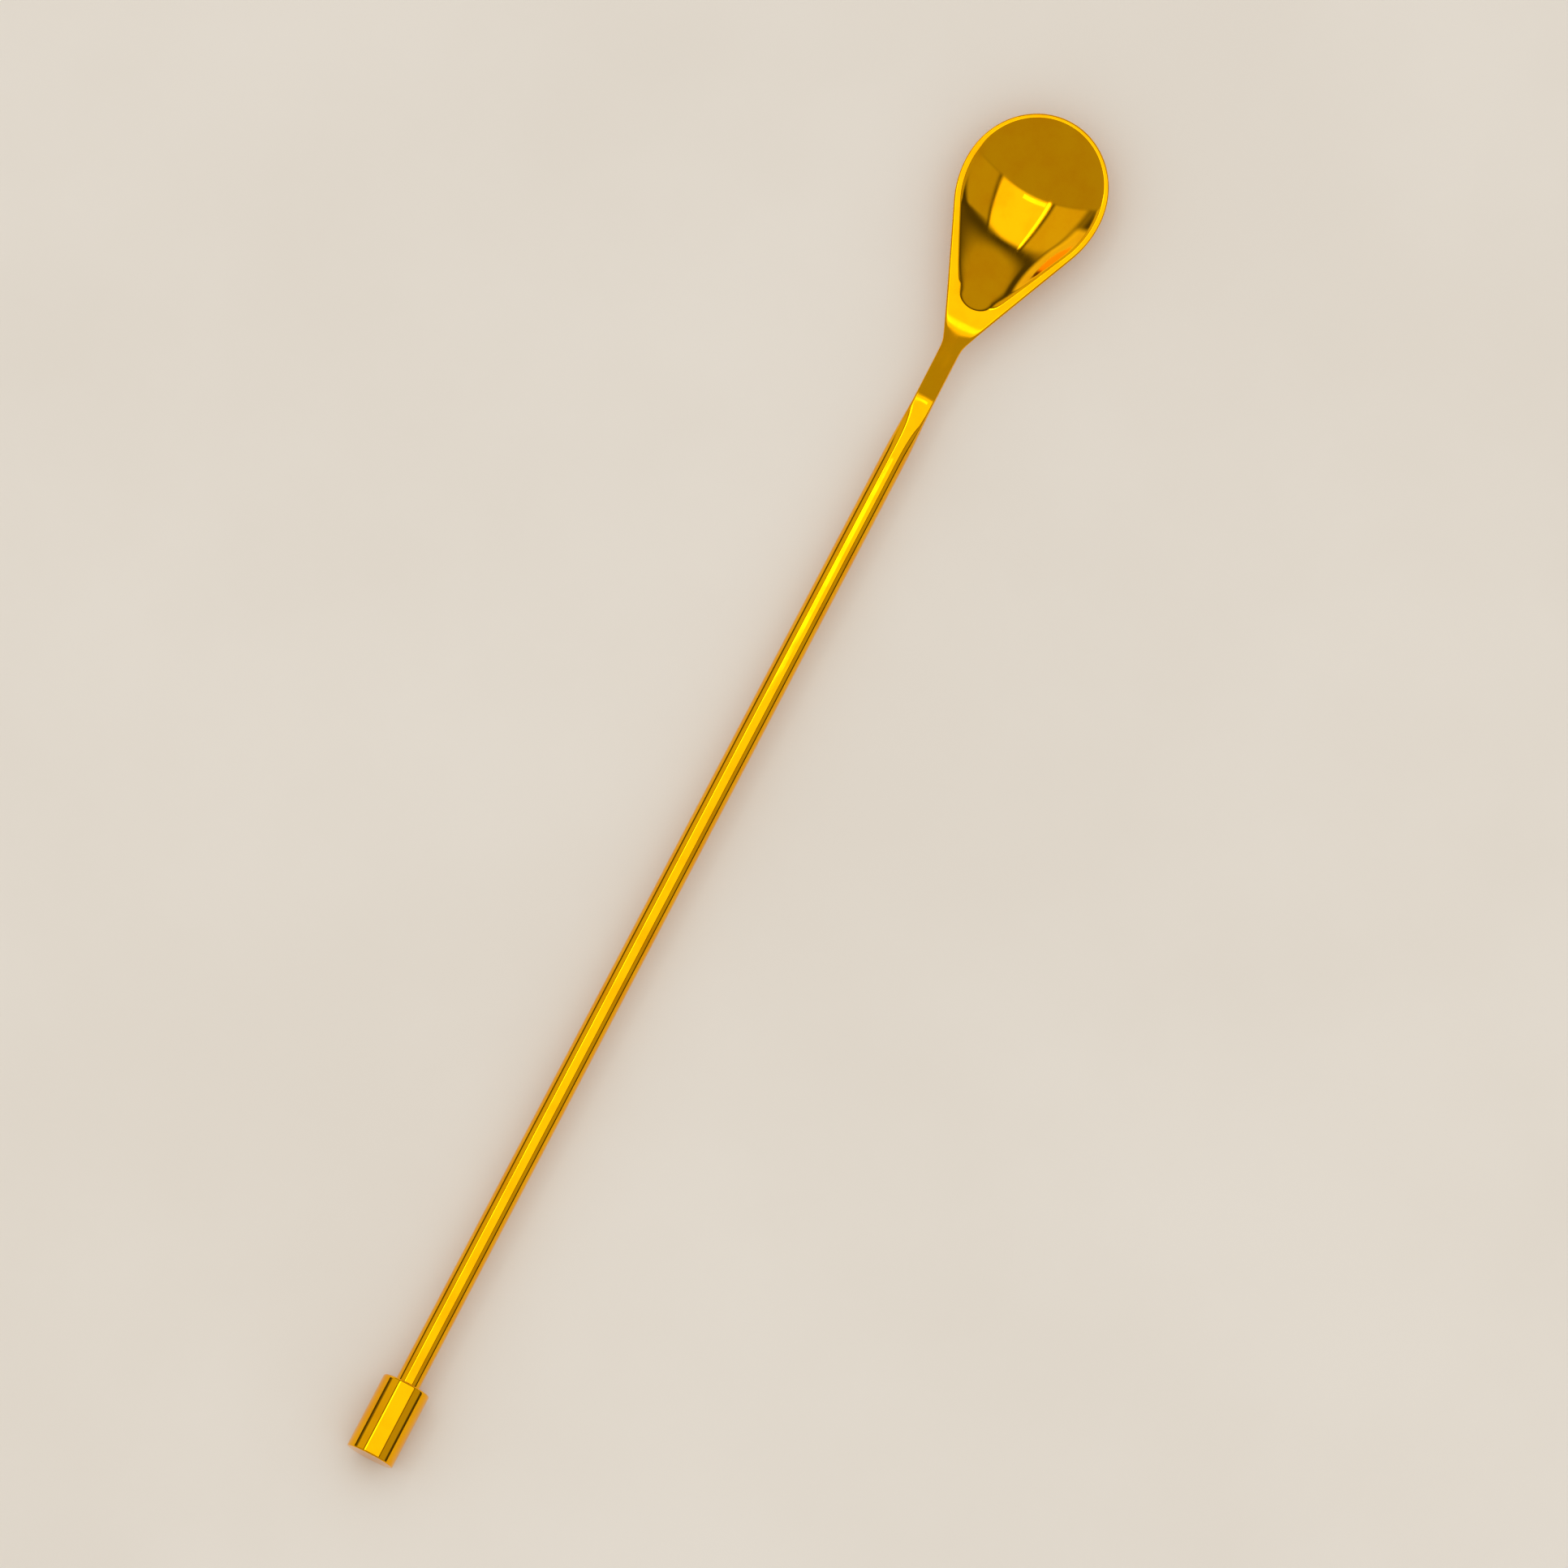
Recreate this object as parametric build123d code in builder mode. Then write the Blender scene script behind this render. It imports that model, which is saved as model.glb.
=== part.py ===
from build123d import *
from math import asin, cos, pi, sin, sqrt
import os

os.makedirs("parts", exist_ok=True)

# A bar spoon lying on a table, bowl up. The origin is on the table under the middle of its
# length, +X runs along the stem to the bowl's tip, +Y is across and +Z is up.

# Whole spoon
LENGTH = 300
TIP_X = LENGTH / 2
CAP_END_X = -LENGTH / 2
RIM_Z = 7.5

# Stem and its hidden ends
STEM_R = 2.5
STEM_EASE = 0.2
SPIGOT_R = 2
SPIGOT_LENGTH = 11
SPIGOT_CHAMFER = 0.4
SOCKET_DEPTH = 9

# Muddler cap, whose face rests on fruit and herbs when the spoon is turned over
CAP_R = 5
CAP_LENGTH = 16
CAP_INNER_ROUND = 0.5
CAP_OUTER_CHAMFER = 0.25
CAP_BORE_DEPTH = 11.6
CAP_MOUTH_CHAMFER = 0.3
DRILL_POINT_RISE = 1.2

# Tenon that joins the bowl's neck to the stem, and the gap that the braze fills
SEAM_X = 66
TENON_R = 1.25
TENON_LENGTH = 8
TENON_CHAMFER = 0.3
JOINT_GAP = 0.01

# Neck: round where it leaves the stem, flat where it meets the heel
NECK_START_X = 74
NECK_FLAT_X = 88
NECK_HALF_WIDTH = 2.1
NECK_THICKNESS = 2
NECK_CROWN = 0.15
NECK_INSET = 0.35

# Rise of the neck from the stem's axis to the rim
RISE_START_X = 84
RISE_STEEP_X = 88
RISE_EASING_X = 101
CREST_X = 105

# Bowl's outer outline: straight flanks from a virtual apex, a shoulder ellipse and a tip ellipse
HEEL_X = 107.2
WIDEST_X = 134
HALF_WIDTH = 14.85
APEX_X = 94.75
SHOULDER = 18.3
HEEL_BLEND = 0.6

# Cavity's outline, the same construction with a round heel
LIP = 1.2
CAVITY_HEEL_X = 107.4
CAVITY_TIP_X = TIP_X - LIP
CAVITY_APEX_X = 100.6
CAVITY_SHOULDER = 16.7
CAVITY_DEPTH = 5.6
CAVITY_SKEW = 0.4

# Bowl's back and lip
BACK_START_X = 103
BACK_START_Z = 5.3
BACK_BLEND = 0.5
BACK_LOWEST_X = 130
LIP_START_X = 95
LIP_END_X = 104
LIP_HEIGHT = 1
LIP_INSET = 0.45
LIP_FILLET = 0.45
TIP_FLAT = 0.03

# Sections of the lofts
NECK_STEPS = 30
FLANK_STEPS = 12
TIP_ANGLES = (15, 30, 45, 60, 72, 82, 90)
CAVITY_LEVELS = 10
CONTOUR_POINTS = 32

AXIS_Z = CAP_R
STEM_AXIS = Axis((0, 0, AXIS_Z), (1, 0, 0))
ALONG_STEM = Plane(origin=(0, 0, AXIS_Z), x_dir=(1, 0, 0), z_dir=(0, -1, 0))


def ease(x, start, end):
    """0 before start, 1 after end, and a smooth curve between."""
    t = min(max((x - start) / (end - start), 0), 1)
    return t * t * (3 - 2 * t)


def mix(a, b, share):
    return a + (b - a) * share


def spaced(start, end, steps):
    return [mix(start, end, i / steps) for i in range(steps + 1)]


def blended_max(a, b, blend):
    """The larger of two lengths, with the corner between them rounded off."""
    return (a + b + sqrt((a - b) ** 2 + blend**2)) / 2


def flatness(x):
    """0 where the neck is as round as the stem, 1 where it is flat."""
    return ease(x, NECK_START_X, NECK_FLAT_X)


def rise(x):
    """Share of the neck's rise reached at x: a straight ramp with a parabola at each end."""
    run_in = RISE_STEEP_X - RISE_START_X
    run_out = CREST_X - RISE_EASING_X
    slope = 2 / (run_in + 2 * (RISE_EASING_X - RISE_STEEP_X) + run_out)
    if x <= RISE_STEEP_X:
        return slope * max(x - RISE_START_X, 0) ** 2 / (2 * run_in)
    if x <= RISE_EASING_X:
        return slope * (run_in / 2 + x - RISE_STEEP_X)
    return 1 - slope * max(CREST_X - x, 0) ** 2 / (2 * run_out)


def teardrop(x, apex, shoulder, half_width, tip):
    """Half-width of a teardrop: tip ellipse, shoulder ellipse, then its tangent to the apex."""
    reach = WIDEST_X - apex
    if x >= WIDEST_X:
        return half_width * sqrt(max(0, 1 - ((x - WIDEST_X) / (tip - WIDEST_X)) ** 2))
    if x >= WIDEST_X - shoulder**2 / reach:
        return half_width * sqrt(1 - ((x - WIDEST_X) / shoulder) ** 2)
    return half_width * (x - apex) / sqrt(reach**2 - shoulder**2)


def body_half_width(x):
    """Half-width of the stem, the neck and the bowl, blended where neck and flank meet."""
    neck = mix(STEM_R, NECK_HALF_WIDTH, flatness(x))
    flank = teardrop(x, APEX_X, SHOULDER, HALF_WIDTH, TIP_X + TIP_FLAT)
    if x <= APEX_X:
        return neck
    if x >= WIDEST_X:
        return flank
    return blended_max(neck, flank, HEEL_BLEND * ease(x, APEX_X, BACK_START_X))


def top(x):
    """Top along the middle: stem, flattened neck, ramp up to the crest, then level with the rim."""
    thickness = mix(2 * STEM_R, NECK_THICKNESS, flatness(x))
    return AXIS_Z + thickness / 2 + (RIM_Z - AXIS_Z - NECK_THICKNESS / 2) * rise(x)


def bottom(x):
    """Underside along the middle: neck, an S-curve down to the table, then up to the tip."""
    if x >= BACK_LOWEST_X:
        share = min(1, (x - BACK_LOWEST_X) / (TIP_X - LIP_INSET - BACK_LOWEST_X))
        return (RIM_Z - LIP_HEIGHT) * share**2
    neck = top(x) - mix(2 * STEM_R, NECK_THICKNESS, flatness(x))
    share = max(0, (x - BACK_START_X) / (BACK_LOWEST_X - BACK_START_X))
    back = BACK_START_Z * (1 + cos(pi * share)) / 2
    return -blended_max(-neck, -back, BACK_BLEND * ease(x, NECK_FLAT_X, BACK_START_X))


def across(x):
    """The plane that cuts the spoon at x, with its own x across and its own y up."""
    return Plane(origin=(x, 0, 0), x_dir=(0, 1, 0), z_dir=(1, 0, 0))


def bulged(start, end, bulge, roundness):
    """Control points of a curve bulging to its left: an arc if roundness is 1, a parabola if 0."""
    t = 2 * bulge / (end - start).length
    along = (end - start) / 3
    left = Vector(-along.Y, along.X) * 2 * t
    along *= 1 - roundness * t * t
    return start, start + along + left, end - along + left, end


def body_section(x):
    """Cross-section of neck or bowl before hollowing: top, side, back and side."""
    corner = STEM_R * (1 - sqrt(0.5))
    lip = ease(x, LIP_START_X, LIP_END_X)
    crown = mix(mix(corner, NECK_CROWN, flatness(x)), 0, lip)
    inset = mix(mix(corner, NECK_INSET, flatness(x)), LIP_INSET, lip)
    height = mix(mix(2 * STEM_R, NECK_THICKNESS, flatness(x)) - 2 * crown, LIP_HEIGHT, lip)
    reach = body_half_width(x) - inset
    upper = top(x) - crown
    lower = upper - height
    corners = [Vector(-reach, upper), Vector(reach, upper), Vector(reach, lower), Vector(-reach, lower)]
    bulges = [(crown, 1), (inset, 1), (lower - bottom(x), 1 - lip), (inset, 1)]
    with BuildSketch(across(x)) as section:
        with BuildLine():
            for i, (bulge, roundness) in enumerate(bulges):
                Bezier(*bulged(corners[i], corners[(i + 1) % 4], bulge, roundness))
        make_face()
    return section.sketch


def cavity_half_width(x):
    """Half-width of the cavity at the rim: a teardrop with a round heel."""
    reach = sqrt((WIDEST_X - CAVITY_APEX_X) ** 2 - CAVITY_SHOULDER**2)
    slope = asin((HALF_WIDTH - LIP) / sqrt(reach**2 + (HALF_WIDTH - LIP) ** 2))
    heel_r = (CAVITY_HEEL_X - CAVITY_APEX_X) * sin(slope) / (1 - sin(slope))
    heel_centre = CAVITY_HEEL_X + heel_r
    if x < heel_centre - heel_r * sin(slope):
        return sqrt(max(0, heel_r**2 - (x - heel_centre) ** 2))
    return teardrop(x, CAVITY_APEX_X, CAVITY_SHOULDER, HALF_WIDTH - LIP, CAVITY_TIP_X)


def cavity_floor(x):
    """Depth of the cavity along the middle: a cubic that is deeper towards the tip."""
    t = 2 * (x - CAVITY_HEEL_X) / (CAVITY_TIP_X - CAVITY_HEEL_X) - 1
    return CAVITY_DEPTH * (1 - t * t) * (1 + CAVITY_SKEW * t)


def deepest_x():
    """Where the cubic of the cavity's floor is deepest."""
    t = (sqrt(1 + 3 * CAVITY_SKEW**2) - 1) / (3 * CAVITY_SKEW)
    return mix(CAVITY_HEEL_X, CAVITY_TIP_X, (1 + t) / 2)


def cavity_chord(x, depth):
    """Half-width of the cavity at x and this deep, where each cross-section is a parabola."""
    floor = cavity_floor(x)
    return cavity_half_width(x) * sqrt(1 - depth / floor) if floor > depth else 0


def floor_reaches(depth, shallow, deep):
    """Where the cavity's floor reaches a depth, found by halving."""
    for _ in range(40):
        middle = (shallow + deep) / 2
        if cavity_floor(middle) < depth:
            shallow = middle
        else:
            deep = middle
    return shallow


def cavity_contour(depth):
    """The cavity's closed outline at a depth below the rim."""
    deepest = deepest_x()
    heel = floor_reaches(depth, CAVITY_HEEL_X, deepest)
    tip = floor_reaches(depth, CAVITY_TIP_X, deepest)
    points = []
    for i in range(CONTOUR_POINTS):
        turn = 2 * pi * i / CONTOUR_POINTS
        x = (heel + tip) / 2 - (tip - heel) / 2 * cos(turn)
        side = cavity_chord(x, depth) if i % (CONTOUR_POINTS / 2) else 0
        points.append((x, side if turn < pi else -side))
    with BuildSketch(Plane.XY.offset(RIM_Z - depth)) as contour:
        with BuildLine():
            Spline(points, periodic=True)
        make_face()
    return contour.sketch


# Muddler cap: a turned cylinder with a blind bore for the stem's spigot
CAP_FACE_X = CAP_END_X + CAP_LENGTH
BORE_R = SPIGOT_R + JOINT_GAP
BORE_END_X = CAP_FACE_X - CAP_BORE_DEPTH

with BuildPart() as muddler_cap:
    with BuildSketch(ALONG_STEM):
        with BuildLine():
            Polyline(
                (CAP_FACE_X, CAP_R),
                (CAP_END_X, CAP_R),
                (CAP_END_X, 0),
                (BORE_END_X - DRILL_POINT_RISE, 0),
                (BORE_END_X, BORE_R),
                (CAP_FACE_X, BORE_R),
                close=True,
            )
        make_face()
    revolve(axis=STEM_AXIS)
    outer_rim = muddler_cap.edges().group_by(Axis.X)[0]
    chamfer(outer_rim, CAP_OUTER_CHAMFER)
    inner_rims = muddler_cap.edges().group_by(Axis.X)[-1].sort_by(SortBy.RADIUS)
    chamfer(inner_rims[0], CAP_MOUTH_CHAMFER)
    fillet(inner_rims[-1], CAP_INNER_ROUND)

muddler_cap.part.label = "muddler_cap"
export_step(muddler_cap.part, "parts/muddler_cap.step")


# Stem: a round rod with a spigot for the cap and a drilled socket for the bowl's tenon
SPIGOT_END_X = CAP_FACE_X - SPIGOT_LENGTH

with BuildPart() as stem:
    with BuildSketch(ALONG_STEM):
        with BuildLine():
            Polyline(
                (SPIGOT_END_X, 0),
                (SPIGOT_END_X, SPIGOT_R),
                (CAP_FACE_X, SPIGOT_R),
                (CAP_FACE_X, STEM_R),
                (SEAM_X, STEM_R),
                (SEAM_X, 0),
                close=True,
            )
        make_face()
    revolve(axis=STEM_AXIS)
    spigot_end = stem.edges().group_by(Axis.X)[0]
    chamfer(spigot_end, SPIGOT_CHAMFER)
    shoulder_edge = stem.edges().filter_by_position(Axis.X, CAP_FACE_X, CAP_FACE_X).sort_by(SortBy.RADIUS)[-1]
    fillet(shoulder_edge, STEM_EASE)
    with Locations(Plane(origin=(SEAM_X, 0, AXIS_Z), z_dir=(1, 0, 0))):
        Hole(TENON_R + JOINT_GAP, SOCKET_DEPTH)

stem.part.label = "stem"
export_step(stem.part, "parts/stem.step")


# Bowl: neck and bowl are one forging, hollowed by the cavity, with a tenon into the stem
tip_stations = [WIDEST_X + (TIP_X - WIDEST_X) * sin(angle * pi / 180) for angle in TIP_ANGLES]
neck_sections = [body_section(x) for x in spaced(SEAM_X, HEEL_X, NECK_STEPS)]
bowl_sections = [body_section(x) for x in spaced(HEEL_X, WIDEST_X, FLANK_STEPS) + tip_stations]
deepest = cavity_floor(deepest_x())
cavity_depths = [deepest * (1 - (1 - i / CAVITY_LEVELS) ** 2) for i in range(CAVITY_LEVELS)]
cavity_sections = [cavity_contour(depth) for depth in cavity_depths]

with BuildPart() as bowl:
    loft(sections=neck_sections)
    loft(sections=bowl_sections)
    with BuildSketch(across(SEAM_X)):
        with Locations((0, AXIS_Z)):
            Circle(TENON_R)
    extrude(amount=-TENON_LENGTH)
    tenon_end = bowl.faces().sort_by(Axis.X)[0]
    chamfer(tenon_end.edges(), TENON_CHAMFER)
    loft(sections=cavity_sections, mode=Mode.SUBTRACT)
    extrude(cavity_sections[0], amount=1, mode=Mode.SUBTRACT)
    rim_edges = bowl.edges().filter_by_position(Axis.Z, RIM_Z - 0.01, RIM_Z + 0.01)
    fillet(rim_edges.sort_by(SortBy.LENGTH)[-1], LIP_FILLET)

bowl.part.label = "bowl"
export_step(bowl.part, "parts/bowl.step")
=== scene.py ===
from math import asin, atan, cos, pi, radians, sin, sqrt

import bmesh
import bpy
from mathutils import Matrix, Vector


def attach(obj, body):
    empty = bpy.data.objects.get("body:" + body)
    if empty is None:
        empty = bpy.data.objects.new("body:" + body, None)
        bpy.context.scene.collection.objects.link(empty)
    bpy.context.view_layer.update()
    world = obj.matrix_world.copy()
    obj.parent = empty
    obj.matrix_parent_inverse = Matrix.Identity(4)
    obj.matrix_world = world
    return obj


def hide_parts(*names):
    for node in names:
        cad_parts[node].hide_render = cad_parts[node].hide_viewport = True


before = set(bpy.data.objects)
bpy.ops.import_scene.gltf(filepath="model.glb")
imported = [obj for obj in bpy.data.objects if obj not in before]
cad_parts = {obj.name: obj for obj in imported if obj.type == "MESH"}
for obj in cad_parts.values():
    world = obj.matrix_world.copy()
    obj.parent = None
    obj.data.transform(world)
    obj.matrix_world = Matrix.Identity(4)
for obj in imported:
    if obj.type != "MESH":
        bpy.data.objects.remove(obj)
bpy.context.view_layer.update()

# A polished gold bar spoon on a pale table. Everything is in metres, in the frame of the CAD
# model: the origin is on the table under the middle, +X runs to the bowl's tip, +Z is up.
# The fine meshes here repeat the CAD model's own dimensions, so that their reflections are
# smooth, and each one stands in for a CAD node, which is hidden.

MM = 0.001

# Whole spoon
LENGTH = 300 * MM
TIP_X = LENGTH / 2
CAP_END_X = -LENGTH / 2
RIM_Z = 7.5 * MM

# Stem and its hidden ends
STEM_R = 2.5 * MM
STEM_EASE = 0.2 * MM
SPIGOT_R = 2 * MM
SPIGOT_LENGTH = 11 * MM
SPIGOT_CHAMFER = 0.4 * MM
SOCKET_DEPTH = 9 * MM

# Muddler cap
CAP_R = 5 * MM
CAP_LENGTH = 16 * MM
CAP_INNER_ROUND = 0.5 * MM
CAP_OUTER_ROUND = 0.25 * MM
CAP_BORE_DEPTH = 11.6 * MM
CAP_MOUTH_CHAMFER = 0.3 * MM
DRILL_POINT_RISE = 1.2 * MM

# Tenon between neck and stem
SEAM_X = 66 * MM
TENON_R = 1.25 * MM
TENON_LENGTH = 8 * MM
TENON_CHAMFER = 0.3 * MM
JOINT_GAP = 0.01 * MM

# Neck
NECK_START_X = 74 * MM
NECK_FLAT_X = 88 * MM
NECK_HALF_WIDTH = 2.1 * MM
NECK_THICKNESS = 2 * MM
NECK_CROWN = 0.15 * MM
NECK_INSET = 0.35 * MM
RISE_START_X = 84 * MM
RISE_STEEP_X = 88 * MM
RISE_EASING_X = 101 * MM
CREST_X = 105 * MM

# Bowl's outline, back and lip
WIDEST_X = 134 * MM
HALF_WIDTH = 14.85 * MM
APEX_X = 94.75 * MM
SHOULDER = 18.3 * MM
HEEL_BLEND = 0.6 * MM
BACK_START_X = 103 * MM
BACK_START_Z = 5.3 * MM
BACK_BLEND = 0.5 * MM
BACK_LOWEST_X = 130 * MM
LIP_START_X = 95 * MM
LIP_END_X = 104 * MM
LIP_HEIGHT = 1 * MM
LIP_INSET = 0.45 * MM
LIP_FILLET = 0.45 * MM

# Cavity
LIP = 1.2 * MM
CAVITY_HEEL_X = 107.4 * MM
CAVITY_TIP_X = TIP_X - LIP
CAVITY_APEX_X = 100.6 * MM
CAVITY_SHOULDER = 16.7 * MM
CAVITY_DEPTH = 5.6 * MM
CAVITY_SKEW = 0.4

# Fineness of the meshes
TOP_STEPS = 20
SIDE_STEPS = 12
NECK_RINGS = 56
FLANK_STEPS = 110
LAND_STEPS = 6
FILLET_STEPS = 6
WALL_RINGS = 56
BACK_RINGS = 64
ROUND_STEPS = 6
LATHE_STEPS = 128
SPAN_GUARD = 0.2 * MM

AXIS_Z = CAP_R
CREASE_ANGLE = radians(28)
WELD = 1e-7


def ease(x, start, end):
    """0 before start, 1 after end, and a smooth curve between."""
    t = min(max((x - start) / (end - start), 0), 1)
    return t * t * (3 - 2 * t)


def mix(a, b, share):
    return a + (b - a) * share


def spaced(start, end, steps):
    return [mix(start, end, i / steps) for i in range(steps + 1)]


def blended_max(a, b, blend):
    """The larger of two lengths, with the corner between them rounded off."""
    return (a + b + sqrt((a - b) ** 2 + blend**2)) / 2


def flatness(x):
    """0 where the neck is as round as the stem, 1 where it is flat."""
    return ease(x, NECK_START_X, NECK_FLAT_X)


def rise(x):
    """Share of the neck's rise reached at x: a straight ramp with a parabola at each end."""
    run_in = RISE_STEEP_X - RISE_START_X
    run_out = CREST_X - RISE_EASING_X
    slope = 2 / (run_in + 2 * (RISE_EASING_X - RISE_STEEP_X) + run_out)
    if x <= RISE_STEEP_X:
        return slope * max(x - RISE_START_X, 0) ** 2 / (2 * run_in)
    if x <= RISE_EASING_X:
        return slope * (run_in / 2 + x - RISE_STEEP_X)
    return 1 - slope * max(CREST_X - x, 0) ** 2 / (2 * run_out)


def teardrop(x, apex, shoulder, half_width, tip):
    """Half-width of a teardrop: tip ellipse, shoulder ellipse, then its tangent to the apex."""
    reach = WIDEST_X - apex
    if x >= WIDEST_X:
        return half_width * sqrt(max(0, 1 - ((x - WIDEST_X) / (tip - WIDEST_X)) ** 2))
    if x >= WIDEST_X - shoulder**2 / reach:
        return half_width * sqrt(1 - ((x - WIDEST_X) / shoulder) ** 2)
    return half_width * (x - apex) / sqrt(reach**2 - shoulder**2)


def top(x):
    """Top along the middle: stem, flattened neck, ramp up to the crest, then level with the rim."""
    thickness = mix(2 * STEM_R, NECK_THICKNESS, flatness(x))
    return AXIS_Z + thickness / 2 + (RIM_Z - AXIS_Z - NECK_THICKNESS / 2) * rise(x)


def bottom(x):
    """Underside along the middle: neck, an S-curve down to the table, then up to the lip."""
    if x >= BACK_LOWEST_X:
        share = min(1, (x - BACK_LOWEST_X) / (TIP_X - LIP_INSET - BACK_LOWEST_X))
        return (RIM_Z - LIP_HEIGHT) * share**2
    neck = top(x) - mix(2 * STEM_R, NECK_THICKNESS, flatness(x))
    share = max(0, (x - BACK_START_X) / (BACK_LOWEST_X - BACK_START_X))
    back = BACK_START_Z * (1 + cos(pi * share)) / 2
    return -blended_max(-neck, -back, BACK_BLEND * ease(x, NECK_FLAT_X, BACK_START_X))


def body_half_width(x):
    """Half-width of the stem, the neck and the bowl, blended where neck and flank meet."""
    neck = mix(STEM_R, NECK_HALF_WIDTH, flatness(x))
    flank = teardrop(x, APEX_X, SHOULDER, HALF_WIDTH, TIP_X)
    if x <= APEX_X:
        return neck
    if x >= WIDEST_X:
        return flank
    return blended_max(neck, flank, HEEL_BLEND * ease(x, APEX_X, BACK_START_X))


class Section:
    """Cross-section of neck or bowl at x: its crown, side inset, inset half-width and heights."""

    def __init__(self, x):
        corner = STEM_R * (1 - sqrt(0.5))
        flat = flatness(x)
        lip = ease(x, LIP_START_X, LIP_END_X)
        self.crown = mix(mix(corner, NECK_CROWN, flat), 0, lip)
        self.inset = mix(mix(corner, NECK_INSET, flat), LIP_INSET, lip)
        height = mix(mix(2 * STEM_R, NECK_THICKNESS, flat) - 2 * self.crown, LIP_HEIGHT, lip)
        self.upper = top(x) - self.crown
        self.lower = self.upper - height
        self.depth = self.lower - bottom(x)
        self.roundness = 1 - lip
        if x <= WIDEST_X:
            self.reach = body_half_width(x) - self.inset
        else:
            self.reach = teardrop(x, APEX_X, SHOULDER, HALF_WIDTH - LIP_INSET, TIP_X - LIP_INSET)


def back_height(x, y):
    """Height of the bowl's underside, whose cross-sections are parabolas."""
    section = Section(x)
    return section.lower - section.depth * (1 - (y / section.reach) ** 2) if section.reach > 0 else section.lower


def cubic(corners, steps):
    """Points along a cubic Bezier curve."""
    points = []
    for t in spaced(0, 1, steps):
        weights = ((1 - t) ** 3, 3 * t * (1 - t) ** 2, 3 * t * t * (1 - t), t**3)
        points.append(sum((w * corner for w, corner in zip(weights, corners)), Vector()))
    return points


def bulged(start, end, bulge, roundness, steps):
    """Points on a curve that stands out by bulge on its left: an arc if roundness is 1, a parabola if 0."""
    t = 2 * bulge / (end - start).length
    along = (end - start) / 3
    left = Vector((0, -along.z, along.y)) * 2 * t
    along *= 1 - roundness * t * t
    return cubic((start, start + along + left, end - along + left, end), steps)


def end_slope(bulge, half_chord, roundness):
    """Slope of such a curve at its end, against its chord."""
    t = bulge / half_chord
    return 2 * t / (1 - roundness * t * t)


def side_curve(section, x, y, outward, top_slope, back_slope):
    """Points down a side from the top's edge to the back's, smooth with both where they meet."""
    swell = section.inset / 0.75
    start = Vector((x, y, section.upper))
    end = Vector((x, y, section.lower))
    after_start = start + swell * (outward - Vector((0, 0, top_slope)))
    before_end = end + swell * (outward + Vector((0, 0, back_slope)))
    return cubic((start, after_start, before_end, end), SIDE_STEPS)


def neck_side(x, hand):
    """The side of the neck's cross-section at x, on the left for hand 1 and the right for -1."""
    section = Section(x)
    return side_curve(
        section,
        x,
        hand * section.reach,
        Vector((0, hand, 0)),
        end_slope(section.crown, section.reach, 1),
        end_slope(section.depth, section.reach, section.roundness),
    )


def neck_ring(x):
    """The neck's cross-section at x: across the top, down, back across the underside and up."""
    section = Section(x)
    corners = [Vector((x, hand * section.reach, z))
               for hand, z in ((-1, section.upper), (1, section.upper), (1, section.lower), (-1, section.lower))]
    over = bulged(corners[0], corners[1], section.crown, 1, TOP_STEPS)
    under = bulged(corners[2], corners[3], section.depth, section.roundness, TOP_STEPS)
    return over[:-1] + neck_side(x, 1)[:-1] + under[:-1] + neck_side(x, -1)[:0:-1]


def lip_station(i, hand):
    """The lip's side at station i of FLANK_STEPS, from the heel to the tip."""
    x = mix(LIP_END_X, TIP_X, sin(pi / 2 * i / FLANK_STEPS))
    if x < WIDEST_X:
        return neck_side(x, hand)
    turn = asin(min(1, (x - WIDEST_X) / (TIP_X - WIDEST_X)))
    outward = Vector((sin(turn), hand * cos(turn), 0))
    x = WIDEST_X + (TIP_X - LIP_INSET - WIDEST_X) * sin(turn)
    y = hand * (HALF_WIDTH - LIP_INSET) * cos(turn)
    step = 0.01 * MM
    inner = Vector((x, y, 0)) - outward * step
    section = Section(x)
    back_slope = (section.lower - back_height(inner.x, inner.y)) / step
    return side_curve(section, x, y, outward, 0, back_slope)


def lip_sides():
    """The lip's sides from the heel's left corner round the tip to its right corner."""
    left = [lip_station(i, 1) for i in range(FLANK_STEPS + 1)]
    right = [lip_station(i, -1) for i in range(FLANK_STEPS)]
    return left + right[::-1]


def cavity_heel():
    """Radius and centre of the round heel of the cavity's outline."""
    reach = sqrt((WIDEST_X - CAVITY_APEX_X) ** 2 - CAVITY_SHOULDER**2)
    slope = atan((HALF_WIDTH - LIP) / reach)
    radius = (CAVITY_HEEL_X - CAVITY_APEX_X) * sin(slope) / (1 - sin(slope))
    return radius, CAVITY_HEEL_X + radius, slope


def cavity_half_width(x):
    """Half-width of the cavity at the rim: a teardrop with a round heel."""
    radius, centre, slope = cavity_heel()
    if x < centre - radius * sin(slope):
        return sqrt(max(0, radius**2 - (x - centre) ** 2))
    return teardrop(x, CAVITY_APEX_X, CAVITY_SHOULDER, HALF_WIDTH - LIP, CAVITY_TIP_X)


def cavity_floor(x):
    """Depth of the cavity along the middle: a cubic that is deeper towards the tip."""
    t = 2 * (x - CAVITY_HEEL_X) / (CAVITY_TIP_X - CAVITY_HEEL_X) - 1
    return CAVITY_DEPTH * (1 - t * t) * (1 + CAVITY_SKEW * t)


def cavity_chord(x, depth):
    """Half-width of the cavity at x and this deep, where each cross-section is a parabola."""
    floor = cavity_floor(x)
    return cavity_half_width(x) * sqrt(1 - depth / floor) if floor > depth else 0


def floor_reaches(depth, shallow, deep):
    """Where the cavity's floor reaches a depth, found by halving."""
    for _ in range(50):
        middle = (shallow + deep) / 2
        if cavity_floor(middle) < depth:
            shallow = middle
        else:
            deep = middle
    return shallow


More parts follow.
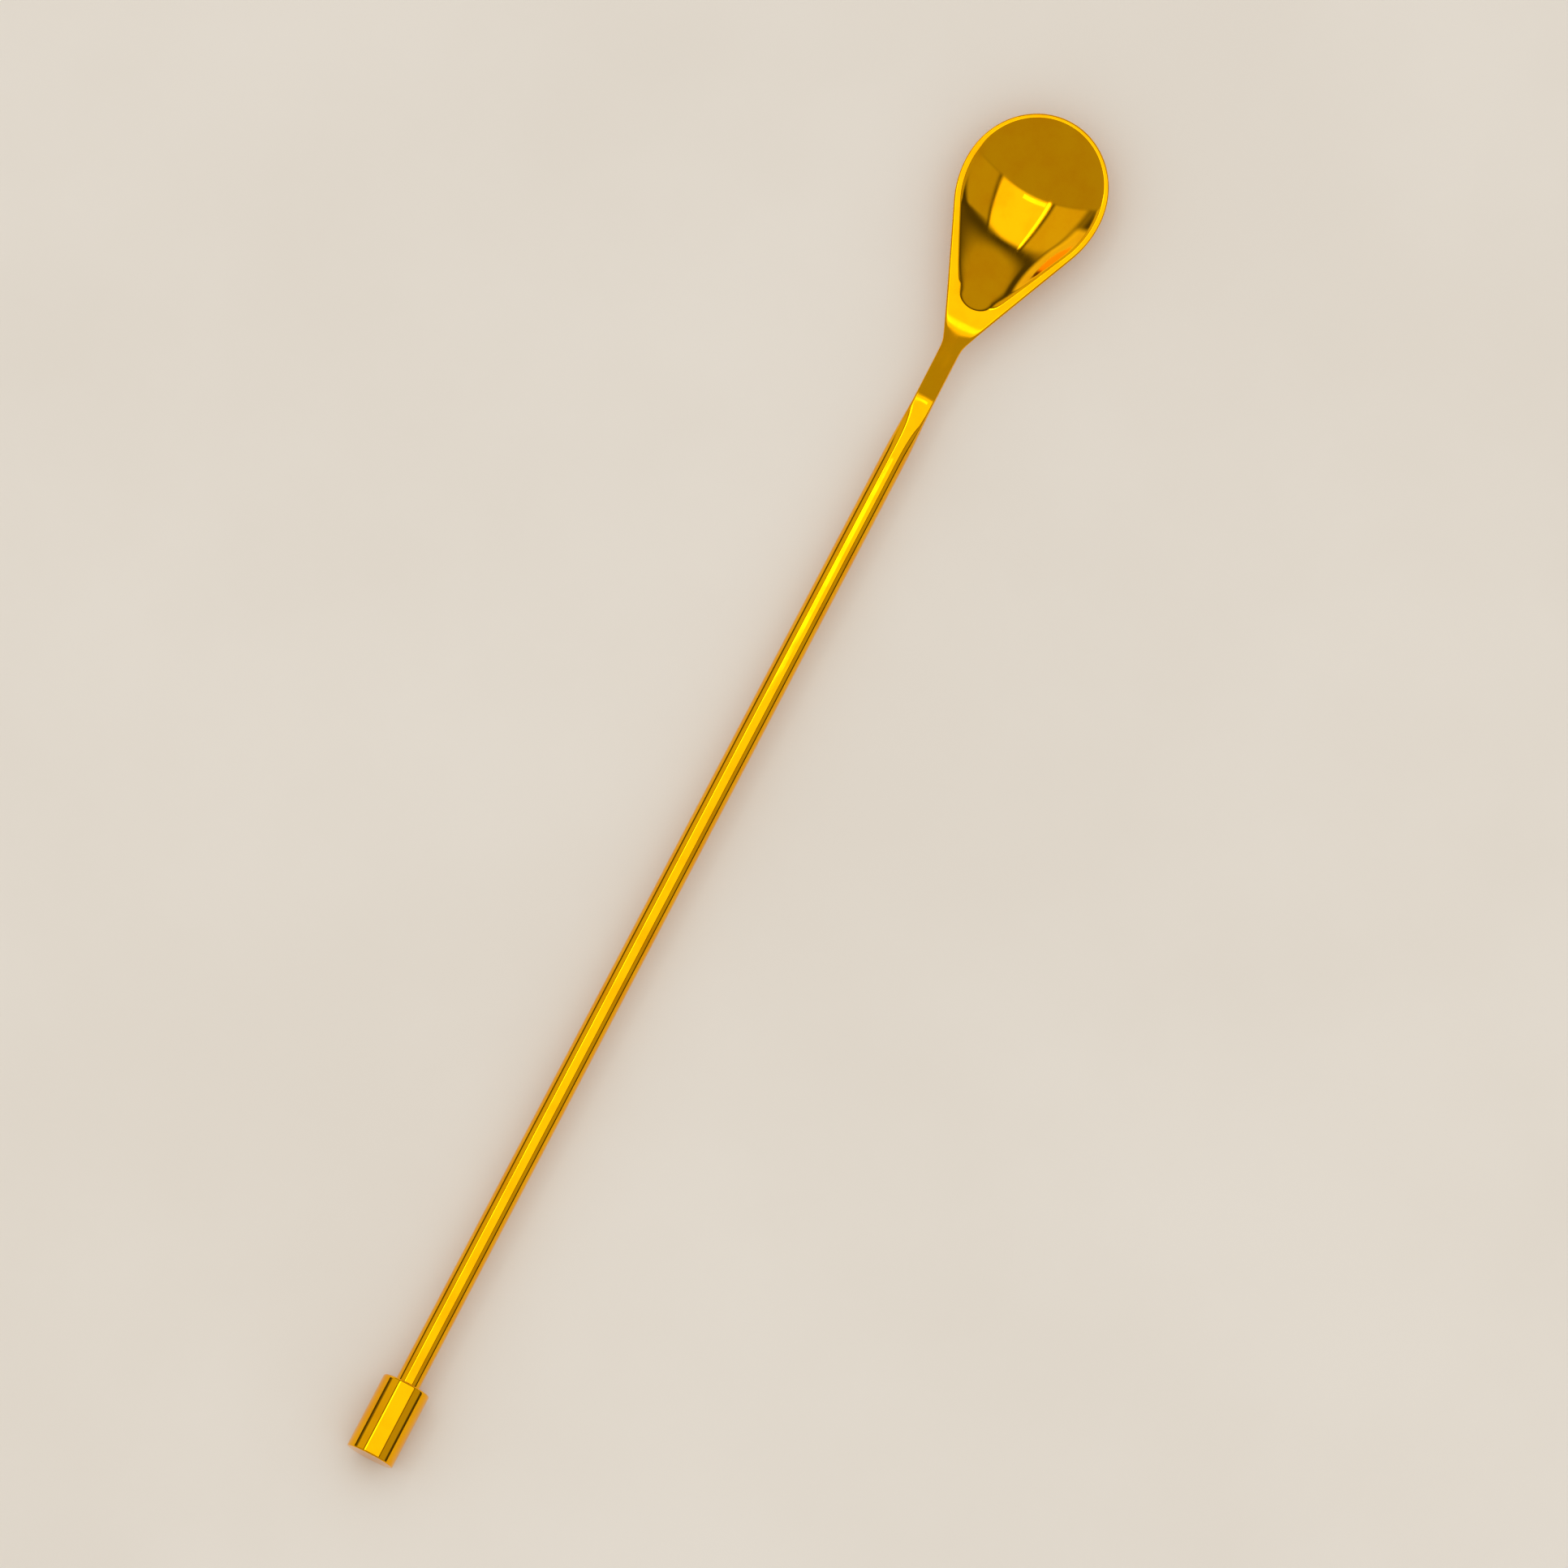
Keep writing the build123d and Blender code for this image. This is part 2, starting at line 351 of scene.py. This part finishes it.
def deepest_x():
    """Where the cavity's floor is lowest."""
    t = (sqrt(1 + 3 * CAVITY_SKEW**2) - 1) / (3 * CAVITY_SKEW)
    return mix(CAVITY_HEEL_X, CAVITY_TIP_X, (1 + t) / 2)


def cavity_columns():
    """Share of the cavity's length and hand of each of its columns, matched with the lip's."""
    radius, centre, _ = cavity_heel()
    corner_turn = pi / 4
    corner_x = centre - radius * cos(corner_turn)
    length = CAVITY_TIP_X - CAVITY_HEEL_X
    along = [mix(corner_x, CAVITY_TIP_X, sin(pi / 2 * i / FLANK_STEPS)) for i in range(FLANK_STEPS + 1)]
    left = [((x - CAVITY_HEEL_X) / length, 1) for x in along]
    right = [(share, -1) for share, _ in left[:-1]]
    heel = []
    for turn in spaced(-corner_turn, corner_turn, TOP_STEPS)[1:-1]:
        heel.append(((1 - cos(turn)) * radius / length, -1 if turn < 0 else 1))
    return left + right[::-1] + heel


def cavity_ring(columns, depth):
    """The cavity's outline at a depth below the rim."""
    heel = floor_reaches(depth, CAVITY_HEEL_X, deepest_x())
    tip = floor_reaches(depth, CAVITY_TIP_X, deepest_x())
    ring = []
    for share, hand in columns:
        x = mix(heel, tip, share)
        y = hand * cavity_chord(x, depth) if WELD < share < 1 - WELD else 0
        ring.append(Vector((x, y, RIM_Z - depth)))
    return ring


def widened(ring, distance):
    """A level ring moved outwards by a distance, for a ring that runs clockwise seen from above."""
    moved = []
    for i, point in enumerate(ring):
        along = ring[(i + 1) % len(ring)] - ring[i - 1]
        moved.append(point + Vector((-along.y, along.x, 0)).normalized() * distance)
    return moved


def cavity_rings():
    """Rings from the land's inner edge over the rounded lip and down the wall to the floor."""
    columns = cavity_columns()
    rim = cavity_ring(columns, 0)
    land_edge = widened(rim, LIP_FILLET)
    wall_top = cavity_ring(columns, LIP_FILLET)
    rings = []
    for t in spaced(0, 1, FILLET_STEPS):
        weights = ((1 - t) ** 2, 2 * t * (1 - t), t * t)
        rings.append([weights[0] * a + weights[1] * b + weights[2] * c
                      for a, b, c in zip(land_edge, rim, wall_top)])
    deepest = cavity_floor(deepest_x())
    for i in range(1, WALL_RINGS):
        share = 1 - (1 - i / WALL_RINGS) ** 2
        rings.append(cavity_ring(columns, mix(LIP_FILLET, deepest, share)))
    rings.append([Vector((deepest_x(), 0, RIM_Z - deepest))] * len(columns))
    return rings


def land_rings(outer, inner):
    """Rings across the level top of the lip and the heel, from outer to inner."""
    rings = []
    for share in spaced(0, 1, LAND_STEPS):
        ring = [a.lerp(b, share) for a, b in zip(outer, inner)]
        rings.append([Vector((p.x, p.y, top(p.x))) for p in ring])
    return rings


def back_rings(outer):
    """Rings down the back from the lip's lower edge to its lowest point."""
    lowest = Vector((BACK_LOWEST_X, 0, 0))
    rings = []
    for share in spaced(0, 1, BACK_RINGS):
        ring = [p.lerp(lowest, share) for p in outer]
        rings.append([Vector((p.x, p.y, back_height(p.x, p.y))) for p in ring])
    rings[0] = outer
    return rings


def skin(shell, rows, closed=True):
    """Faces between neighbouring rows of points, each row a ring if closed."""
    made = [[shell.verts.new(point) for point in row] for row in rows]
    for upper, lower in zip(made, made[1:]):
        for i in range(len(upper) if closed else len(upper) - 1):
            j = (i + 1) % len(upper)
            shell.faces.new((upper[i], upper[j], lower[j], lower[i]))


def finished(shell, name, *materials):
    """Welds a shell into one closed mesh and makes the object that stands for a CAD node."""
    bmesh.ops.remove_doubles(shell, verts=shell.verts, dist=WELD)
    bmesh.ops.recalc_face_normals(shell, faces=shell.faces)
    mesh = bpy.data.meshes.new(name)
    shell.to_mesh(mesh)
    shell.free()
    mesh.shade_smooth()
    mesh.set_sharp_from_angle(angle=CREASE_ANGLE)
    for material in materials:
        mesh.materials.append(material)
    piece = bpy.data.objects.new(name, mesh)
    bpy.context.scene.collection.objects.link(piece)
    return piece


def turned_ring(x, radius, count=LATHE_STEPS):
    """A circle about the stem's axis."""
    return [Vector((x, radius * sin(2 * pi * i / count), AXIS_Z + radius * cos(2 * pi * i / count)))
            for i in range(count)]


def rounded(corner_x, corner_r, size, toward_x):
    """Profile points of an outer corner rounded by size, from the side at toward_x's end."""
    points = []
    for turn in spaced(0, pi / 2, ROUND_STEPS):
        points.append((corner_x + toward_x * size * (1 - sin(turn)), corner_r - size * (1 - cos(turn))))
    return points


def make_bowl(material):
    """Neck and bowl as one forging, with the tenon that sits in the stem."""
    shell = bmesh.new()
    neck = [neck_ring(x) for x in spaced(SEAM_X, LIP_END_X, NECK_RINGS)]
    tenon = []
    for x, radius in (
        (SEAM_X - TENON_LENGTH, 0),
        (SEAM_X - TENON_LENGTH, TENON_R - TENON_CHAMFER),
        (SEAM_X - TENON_LENGTH + TENON_CHAMFER, TENON_R),
        (SEAM_X, TENON_R),
    ):
        ring = []
        for point in neck[0]:
            away = Vector((0, point.y, point.z - AXIS_Z)).normalized()
            ring.append(Vector((x, 0, AXIS_Z)) + away * radius)
        tenon.append(ring)
    skin(shell, tenon + neck)

    sides = lip_sides()
    reach = Section(LIP_END_X).reach
    across_top = [Vector((LIP_END_X, y, top(LIP_END_X)))
                  for y in spaced(-reach, reach, TOP_STEPS)[1:-1]]
    across_back = [Vector((LIP_END_X, y, back_height(LIP_END_X, y)))
                   for y in spaced(-reach, reach, TOP_STEPS)[1:-1]]
    skin(shell, sides, closed=False)
    cavity = cavity_rings()
    skin(shell, land_rings([side[0] for side in sides] + across_top, cavity[0]))
    skin(shell, cavity)
    skin(shell, back_rings([side[-1] for side in sides] + across_back))
    return finished(shell, "gold_bowl", material)


def guarded(profile):
    """The profile with a point close to each end of its long spans, so that they shade straight."""
    points = [Vector(profile[0])]
    for corner in profile[1:]:
        start, end = points[-1], Vector(corner)
        share = SPAN_GUARD / (end - start).length
        if share < 0.25:
            points += [start.lerp(end, share), end.lerp(start, share)]
        points.append(end)
    return points


def make_turned(name, profile, material):
    """A piece turned about the stem's axis from a profile of (x, radius) points."""
    shell = bmesh.new()
    skin(shell, [turned_ring(x, radius) for x, radius in guarded(profile)])
    return finished(shell, name, material)


def make_stem(material):
    """Plain rod with a spigot for the cap and a drilled socket for the bowl's tenon."""
    face_x = CAP_END_X + CAP_LENGTH
    profile = [
        (face_x - SPIGOT_LENGTH, 0),
        (face_x - SPIGOT_LENGTH, SPIGOT_R - SPIGOT_CHAMFER),
        (face_x - SPIGOT_LENGTH + SPIGOT_CHAMFER, SPIGOT_R),
        (face_x, SPIGOT_R),
    ]
    profile += rounded(face_x, STEM_R, STEM_EASE, 1)[::-1]
    profile += [
        (SEAM_X, STEM_R),
        (SEAM_X, TENON_R + JOINT_GAP),
        (SEAM_X - SOCKET_DEPTH, TENON_R + JOINT_GAP),
        (SEAM_X - SOCKET_DEPTH, 0),
    ]
    return make_turned("gold_stem", profile, material)


def make_cap(material):
    """Short cylinder with a flat muddling face, rounded rims and a blind bore for the spigot."""
    face_x = CAP_END_X + CAP_LENGTH
    bore_r = SPIGOT_R + JOINT_GAP
    profile = [(CAP_END_X, 0)]
    profile += rounded(CAP_END_X, CAP_R, CAP_OUTER_ROUND, 1)[::-1]
    profile += rounded(face_x, CAP_R, CAP_INNER_ROUND, -1)
    profile += [
        (face_x, bore_r + CAP_MOUTH_CHAMFER),
        (face_x - CAP_MOUTH_CHAMFER, bore_r),
        (face_x - CAP_BORE_DEPTH, bore_r),
        (face_x - CAP_BORE_DEPTH - DRILL_POINT_RISE, 0),
    ]
    return make_turned("gold_cap", profile, material)


class Nodes:
    """A short way to write a node tree."""

    def __init__(self, tree):
        self.tree = tree
        tree.nodes.clear()

    def add(self, kind, inputs=None, **settings):
        node = self.tree.nodes.new(kind)
        for name, value in settings.items():
            setattr(node, name, value)
        for name, value in (inputs or {}).items():
            socket = node.inputs[name]
            if isinstance(value, bpy.types.NodeSocket):
                self.tree.links.new(value, socket)
            else:
                socket.default_value = value
        return node

    def math(self, operation, a, b=0.0):
        return self.add("ShaderNodeMath", {0: a, 1: b}, operation=operation).outputs[0]

    def ramp(self, value, low, high, start=0.0, end=1.0, smooth=True):
        """start below low, end above high, and between them in between."""
        node = self.add(
            "ShaderNodeMapRange",
            {"Value": value, "From Min": low, "From Max": high, "To Min": start, "To Max": end},
            interpolation_type="SMOOTHSTEP" if smooth else "LINEAR",
        )
        return node.outputs["Result"]

    def noise(self, where, scale, detail=3.0, roughness=0.5):
        inputs = {"Vector": where, "Scale": scale, "Detail": detail, "Roughness": roughness}
        return self.add("ShaderNodeTexNoise", inputs).outputs["Fac"]

    def stretched(self, where, scale):
        """Coordinates scaled by a different factor along each axis."""
        return self.add("ShaderNodeMapping", {"Vector": where, "Scale": scale}).outputs["Vector"]

    def mix(self, factor, a, b):
        node = self.add("ShaderNodeMix", {"Factor": factor}, data_type="RGBA")
        for socket, value in ((node.inputs[6], a), (node.inputs[7], b)):
            if isinstance(value, bpy.types.NodeSocket):
                self.tree.links.new(value, socket)
            else:
                socket.default_value = value
        return node.outputs[2]


GOLD = (1.0, 0.47, 0.0015, 1)
GOLD_WARM = (0.96, 0.41, 0.001, 1)


def gold_metal(name, streaks, streak_depth):
    """Polished gold-coloured metal: fine polishing streaks, faint smudges and a slight tint drift."""
    material = bpy.data.materials.new(name)
    material.use_nodes = True
    n = Nodes(material.node_tree)
    where = n.add("ShaderNodeTexCoord").outputs["Object"]
    fine = n.noise(n.stretched(where, streaks), 1.0, 2.0, 0.6)
    smudge = n.noise(where, 160.0, 4.0, 0.6)
    wave = n.noise(where, 90.0, 1.0, 0.4)
    tint = n.mix(n.ramp(smudge, 0.35, 0.75), GOLD, GOLD_WARM)
    roughness = n.math("ADD", n.ramp(smudge, 0.4, 0.75, 0.045, 0.1), n.ramp(fine, 0.45, 0.75, 0.0, 0.05))
    grain = n.add("ShaderNodeBump", {"Height": fine, "Strength": 1.0, "Distance": streak_depth})
    swell = n.add("ShaderNodeBump", {"Height": wave, "Strength": 1.0, "Distance": 0.00006,
                                     "Normal": grain.outputs["Normal"]})
    shader = n.add("ShaderNodeBsdfPrincipled", {
        "Base Color": tint, "Metallic": 1.0, "Roughness": roughness, "Normal": swell.outputs["Normal"]})
    n.add("ShaderNodeOutputMaterial", {"Surface": shader.outputs["BSDF"]})
    return material


def pale_table():
    """Plain pale honed stone."""
    material = bpy.data.materials.new("pale_table")
    material.use_nodes = True
    n = Nodes(material.node_tree)
    where = n.add("ShaderNodeTexCoord").outputs["Object"]
    cloud = n.noise(where, 9.0, 5.0, 0.55)
    tone = n.mix(n.ramp(cloud, 0.3, 0.7), (0.86, 0.82, 0.765, 1), (0.83, 0.785, 0.725, 1))
    shader = n.add("ShaderNodeBsdfPrincipled", {"Base Color": tone, "Roughness": 0.6, "Specular IOR Level": 0.0})
    n.add("ShaderNodeOutputMaterial", {"Surface": shader.outputs["BSDF"]})
    return material


# Window: place, size and brightness of its reflection
WINDOW_AT = (0.195, 0.18, 1.0)
WINDOW_SIZE = (0.06, 0.62)
WINDOW_BRIGHTNESS = 2.2

# Surroundings: limits in degrees along and across the stem, and brightness
NEAR_EDGE = 0.5
FAR_EDGE = 32.0
NEAR_WALL = 0.36
FAR_WALL = 0.40
SIDE_WALLS = ((37, 73, 0.62), (-77, -45, 0.42), (75, 79, 0.2))
LOW_WINDOW = 0.8
LAMP_LINE = 3.0
DARKEST = 0.07
ROOM = 0.9


def studio_world():
    """Soft studio surroundings: a wide bright ceiling between dimmer walls, darker near the floor."""
    world = bpy.data.worlds.new("studio")
    bpy.context.scene.world = world
    world.use_nodes = True
    n = Nodes(world.node_tree)
    direction = n.add("ShaderNodeTexCoord").outputs["Generated"]
    axes = n.add("ShaderNodeSeparateXYZ", {"Vector": direction}).outputs
    across = n.math("MULTIPLY", n.math("ARCTAN2", axes["Y"], axes["Z"]), 180 / pi)
    along = n.math("MULTIPLY", n.math("ARCSINE", axes["X"]), 180 / pi)

    def band(value, low, high, soft=3.0):
        """1 between low and high degrees, 0 outside, with soft edges."""
        return n.math("MULTIPLY", n.ramp(value, low - soft, low + soft),
                      n.ramp(value, high - soft, high + soft, 1, 0))

    middle = band(along, NEAR_EDGE, FAR_EDGE, 1.5)
    light = n.math("MULTIPLY", band(across, -41, 33, 2.0), 1.22)
    for low, high, level in SIDE_WALLS:
        light = n.math("ADD", light, n.math("MULTIPLY", band(across, low, high), level))
    lamp_line = n.math("MULTIPLY", band(across, 28, 31, 1.0), LAMP_LINE)
    light = n.math("MULTIPLY", n.math("ADD", light, lamp_line), middle)
    light = n.math("ADD", light, n.math("MULTIPLY", n.ramp(along, NEAR_EDGE - 2, NEAR_EDGE + 1.5, 1, 0), NEAR_WALL))
    far_wall = n.math("MULTIPLY", n.ramp(along, FAR_EDGE + 2, FAR_EDGE + 7), n.ramp(across, 60, 68, 1, 0))
    light = n.math("ADD", light, n.math("MULTIPLY", far_wall, FAR_WALL))
    low_window = n.math("MULTIPLY", n.ramp(along, 12, 16), n.ramp(across, 72, 80))
    light = n.math("ADD", light, n.math("MULTIPLY", low_window, LOW_WINDOW))
    light = n.math("ADD", light, DARKEST)
    path = n.add("ShaderNodeLightPath").outputs
    light = n.ramp(path["Is Diffuse Ray"], 0, 1, light, ROOM, smooth=False)
    seen = n.add("ShaderNodeBackground", {"Color": (0.80, 0.77, 0.72, 1), "Strength": 1.0})
    cast = n.add("ShaderNodeBackground", {"Color": (1.0, 0.965, 0.91, 1), "Strength": light})
    both = n.add("ShaderNodeMixShader", {0: path["Is Camera Ray"], 1: cast.outputs[0], 2: seen.outputs[0]})
    n.add("ShaderNodeOutputWorld", {"Surface": both.outputs[0]})


def window_glow():
    """Neutral white light, much brighter than the rest of the room."""
    material = bpy.data.materials.new("window_glow")
    material.use_nodes = True
    n = Nodes(material.node_tree)
    glow = n.add("ShaderNodeEmission", {"Color": (1, 1, 1, 1), "Strength": WINDOW_BRIGHTNESS})
    n.add("ShaderNodeOutputMaterial", {"Surface": glow.outputs["Emission"]})
    material.cycles.emission_sampling = "NONE"
    return material


def make_window():
    """A small white window overhead. Only the metal reflects it: it lights nothing else."""
    mesh = bpy.data.meshes.new("window_pane")
    shell = bmesh.new()
    bmesh.ops.create_grid(shell, x_segments=1, y_segments=1, size=0.5)
    bmesh.ops.scale(shell, vec=(*WINDOW_SIZE, 1), verts=shell.verts)
    shell.to_mesh(mesh)
    shell.free()
    mesh.materials.append(window_glow())
    pane = bpy.data.objects.new("window_pane", mesh)
    pane.location = WINDOW_AT
    pane.rotation_euler = (pi, 0, 0)
    bpy.context.scene.collection.objects.link(pane)
    pane.visible_camera = False
    pane.visible_diffuse = False
    pane.visible_shadow = False


def make_table():
    """The table top under the spoon."""
    mesh = bpy.data.meshes.new("table_top")
    shell = bmesh.new()
    bmesh.ops.create_grid(shell, x_segments=8, y_segments=8, size=2.5)
    shell.to_mesh(mesh)
    shell.free()
    mesh.materials.append(pale_table())
    table = bpy.data.objects.new("table_top", mesh)
    bpy.context.scene.collection.objects.link(table)


FRAME_SIZE = 0.31
LENS = 600.0
SENSOR = 36.0
LOOK_AT = Vector((0.007, -0.0104, 0.0))
TOWARD_CAMERA = Vector((-0.1305, -0.0715, 0.989)).normalized()
PICTURE_UP = Vector((0.8876, 0.4607, 0.0))


def make_camera():
    """A long lens almost straight above, with the stem leaning right in the picture."""
    data = bpy.data.cameras.new("camera")
    data.lens = LENS
    data.sensor_width = SENSOR
    data.clip_end = 20
    camera = bpy.data.objects.new("camera", data)
    back = TOWARD_CAMERA
    right = PICTURE_UP.cross(back).normalized()
    up = back.cross(right)
    distance = FRAME_SIZE * LENS / SENSOR
    camera.matrix_world = Matrix.LocRotScale(
        LOOK_AT + back * distance, Matrix((right, up, back)).transposed(), None
    )
    bpy.context.scene.collection.objects.link(camera)
    bpy.context.scene.camera = camera


bowl = make_bowl(gold_metal("gold_bowl", (60, 260, 260), 0.0000012))
stem = make_stem(gold_metal("gold_stem", (25, 900, 900), 0.0000016))
cap = make_cap(gold_metal("gold_cap", (900, 60, 60), 0.000001))
for piece, node in ((bowl, "bowl"), (stem, "stem"), (cap, "muddler_cap")):
    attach(piece, "root")
    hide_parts(node)

make_table()
make_window()
studio_world()
make_camera()

bpy.context.scene.view_settings.view_transform = "Standard"
